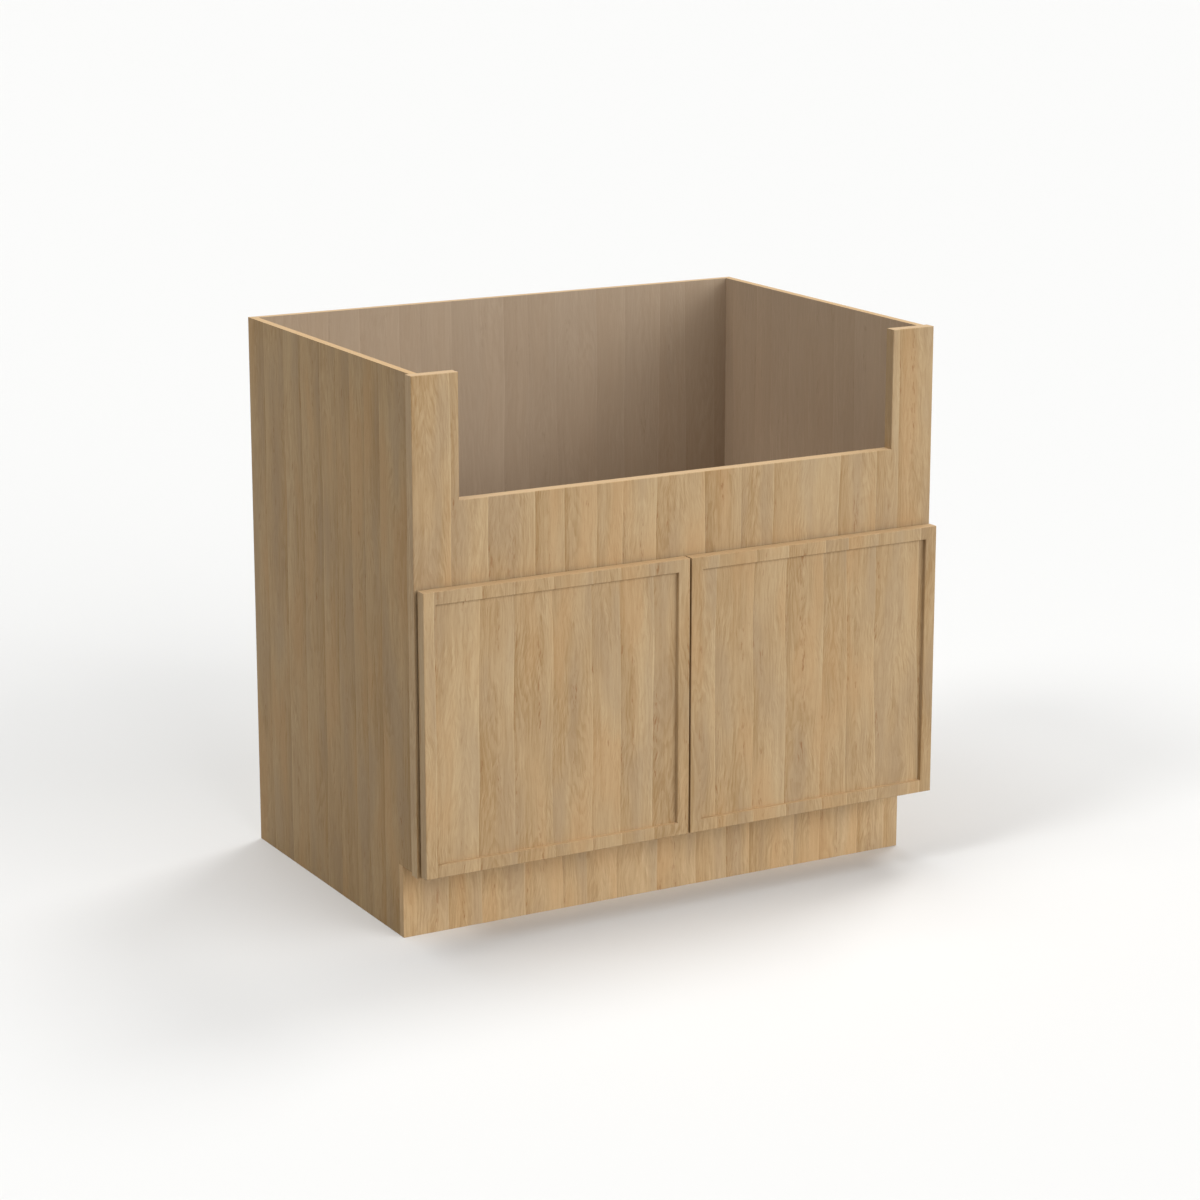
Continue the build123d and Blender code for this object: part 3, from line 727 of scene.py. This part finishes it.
def seen_rays(tree):
    """1 for rays that make the picture: straight from the camera, mirrored or through glass."""
    path = add(tree, "LightPath")
    inputs = (path["Is Glossy Ray"], path["Is Transmission Ray"])
    mirrored = add(tree, "Math", inputs, operation="MAXIMUM")[0]
    return add(tree, "Math", (path["Is Camera Ray"], mirrored), operation="MAXIMUM")[0]


def make_camera(scene, settings):
    """The photograph's camera."""
    camera = bpy.data.cameras.new("studio_camera")
    camera.sensor_width = SENSOR_WIDTH
    camera.lens = settings.lens
    camera.shift_y = settings.shift_y
    placed = bpy.data.objects.new("studio_camera", camera)
    scene.collection.objects.link(placed)
    placed.location = settings.camera_place
    placed.rotation_euler = (math.pi / 2 + settings.camera_tilt, 0, -settings.camera_turn)
    scene.camera = placed


def make_lamps(scene):
    """Broad distant lamps all round the cabinet."""
    for name, turn, height, strength, breadth in LAMPS:
        lamp = bpy.data.lights.new(name, "SUN")
        lamp.energy = strength * math.pi
        lamp.angle = math.radians(breadth)
        placed = bpy.data.objects.new(name, lamp)
        scene.collection.objects.link(placed)
        placed.rotation_euler = (math.radians(90 - height), 0, math.radians(turn))


def make_world(scene, settings):
    """A pale background, and an even dome of light."""
    world = bpy.data.worlds.new("studio")
    world.use_nodes = True
    scene.world = world
    tree = world.node_tree
    inputs = {0: seen_rays(tree), COLOUR_A: settings.dome, COLOUR_B: settings.background}
    sky = add(tree, "Mix", inputs, data_type="RGBA")[COLOUR_OUT]
    tree.links.new(sky, tree.nodes["Background"].inputs["Color"])


def make_floor(scene, settings):
    """A wide floor just under the cabinet, in matt white paint: no shine, only soft shadow."""
    signs = ((-1, -1), (1, -1), (1, 1), (-1, 1))
    corners = [(x * FLOOR_REACH, y * FLOOR_REACH, -FLOOR_DROP) for x, y in signs]
    mesh = bpy.data.meshes.new("studio_floor")
    mesh.from_pydata(corners, [], [(0, 1, 2, 3)])
    floor = bpy.data.objects.new("studio_floor", mesh)
    scene.collection.objects.link(floor)
    made, tree, shader = material("paint_matt_white_floor")
    inputs = {0: seen_rays(tree), COLOUR_A: settings.floor_bounce, COLOUR_B: settings.floor}
    base = add(tree, "Mix", inputs, data_type="RGBA")[COLOUR_OUT]
    tree.links.new(base, shader.inputs["Base Color"])
    shader.inputs["Roughness"].default_value = 0.9
    shader.inputs["Specular IOR Level"].default_value = 0.0
    mesh.materials.append(made)


class CABINET_OT_stage(bpy.types.Operator):
    """Make the camera, the lamps, the world and the floor."""
    bl_idname = "cabinet.stage"
    bl_label = "Studio"

    def execute(self, context):
        scene, settings = context.scene, context.scene.cabinet_stage
        scene.view_settings.view_transform = "Standard"
        make_camera(scene, settings)
        make_lamps(scene)
        make_world(scene, settings)
        make_floor(scene, settings)
        return {"FINISHED"}


class CABINET_PT_panel(bpy.types.Panel):
    """Lists the cabinet's operators and settings."""
    bl_idname = "CABINET_PT_panel"
    bl_label = "Sink Base Cabinet"
    bl_space_type = "VIEW_3D"
    bl_region_type = "UI"
    bl_category = "Cabinet"

    def draw(self, context):
        for operator in OPERATORS:
            self.layout.operator(operator.bl_idname)
        for group, kind in GROUPS.items():
            box = self.layout.box()
            box.label(text=kind.__doc__)
            for name in kind.__annotations__:
                box.prop(getattr(context.scene, group), name)


OPERATORS = (
    CABINET_OT_face_frame,
    CABINET_OT_doors,
    CABINET_OT_box,
    CABINET_OT_toe_kick,
    CABINET_OT_hinges,
    CABINET_OT_fasteners,
    CABINET_OT_bumpers,
    CABINET_OT_stage,
)
GROUPS = {
    "cabinet_oak": OakSettings,
    "cabinet_inside": InsideSettings,
    "cabinet_ply": PlySettings,
    "cabinet_stage": StageSettings,
}
CLASSES = (*GROUPS.values(), *OPERATORS, CABINET_PT_panel)


def register():
    """Add the classes, and the settings to every scene."""
    for made in CLASSES:
        bpy.utils.register_class(made)
    for name, group in GROUPS.items():
        setattr(bpy.types.Scene, name, bpy.props.PointerProperty(type=group))


def unregister():
    """Take the settings and the classes away again."""
    for name in GROUPS:
        delattr(bpy.types.Scene, name)
    for made in reversed(CLASSES):
        bpy.utils.unregister_class(made)


def main():
    """Dress the cabinet and set the stage."""
    register()
    bpy.ops.cabinet.face_frame()
    bpy.ops.cabinet.doors()
    bpy.ops.cabinet.box()
    bpy.ops.cabinet.toe_kick()
    bpy.ops.cabinet.hinges()
    bpy.ops.cabinet.fasteners()
    bpy.ops.cabinet.bumpers()
    bpy.ops.cabinet.stage()


if __name__ == "__main__":
    main()
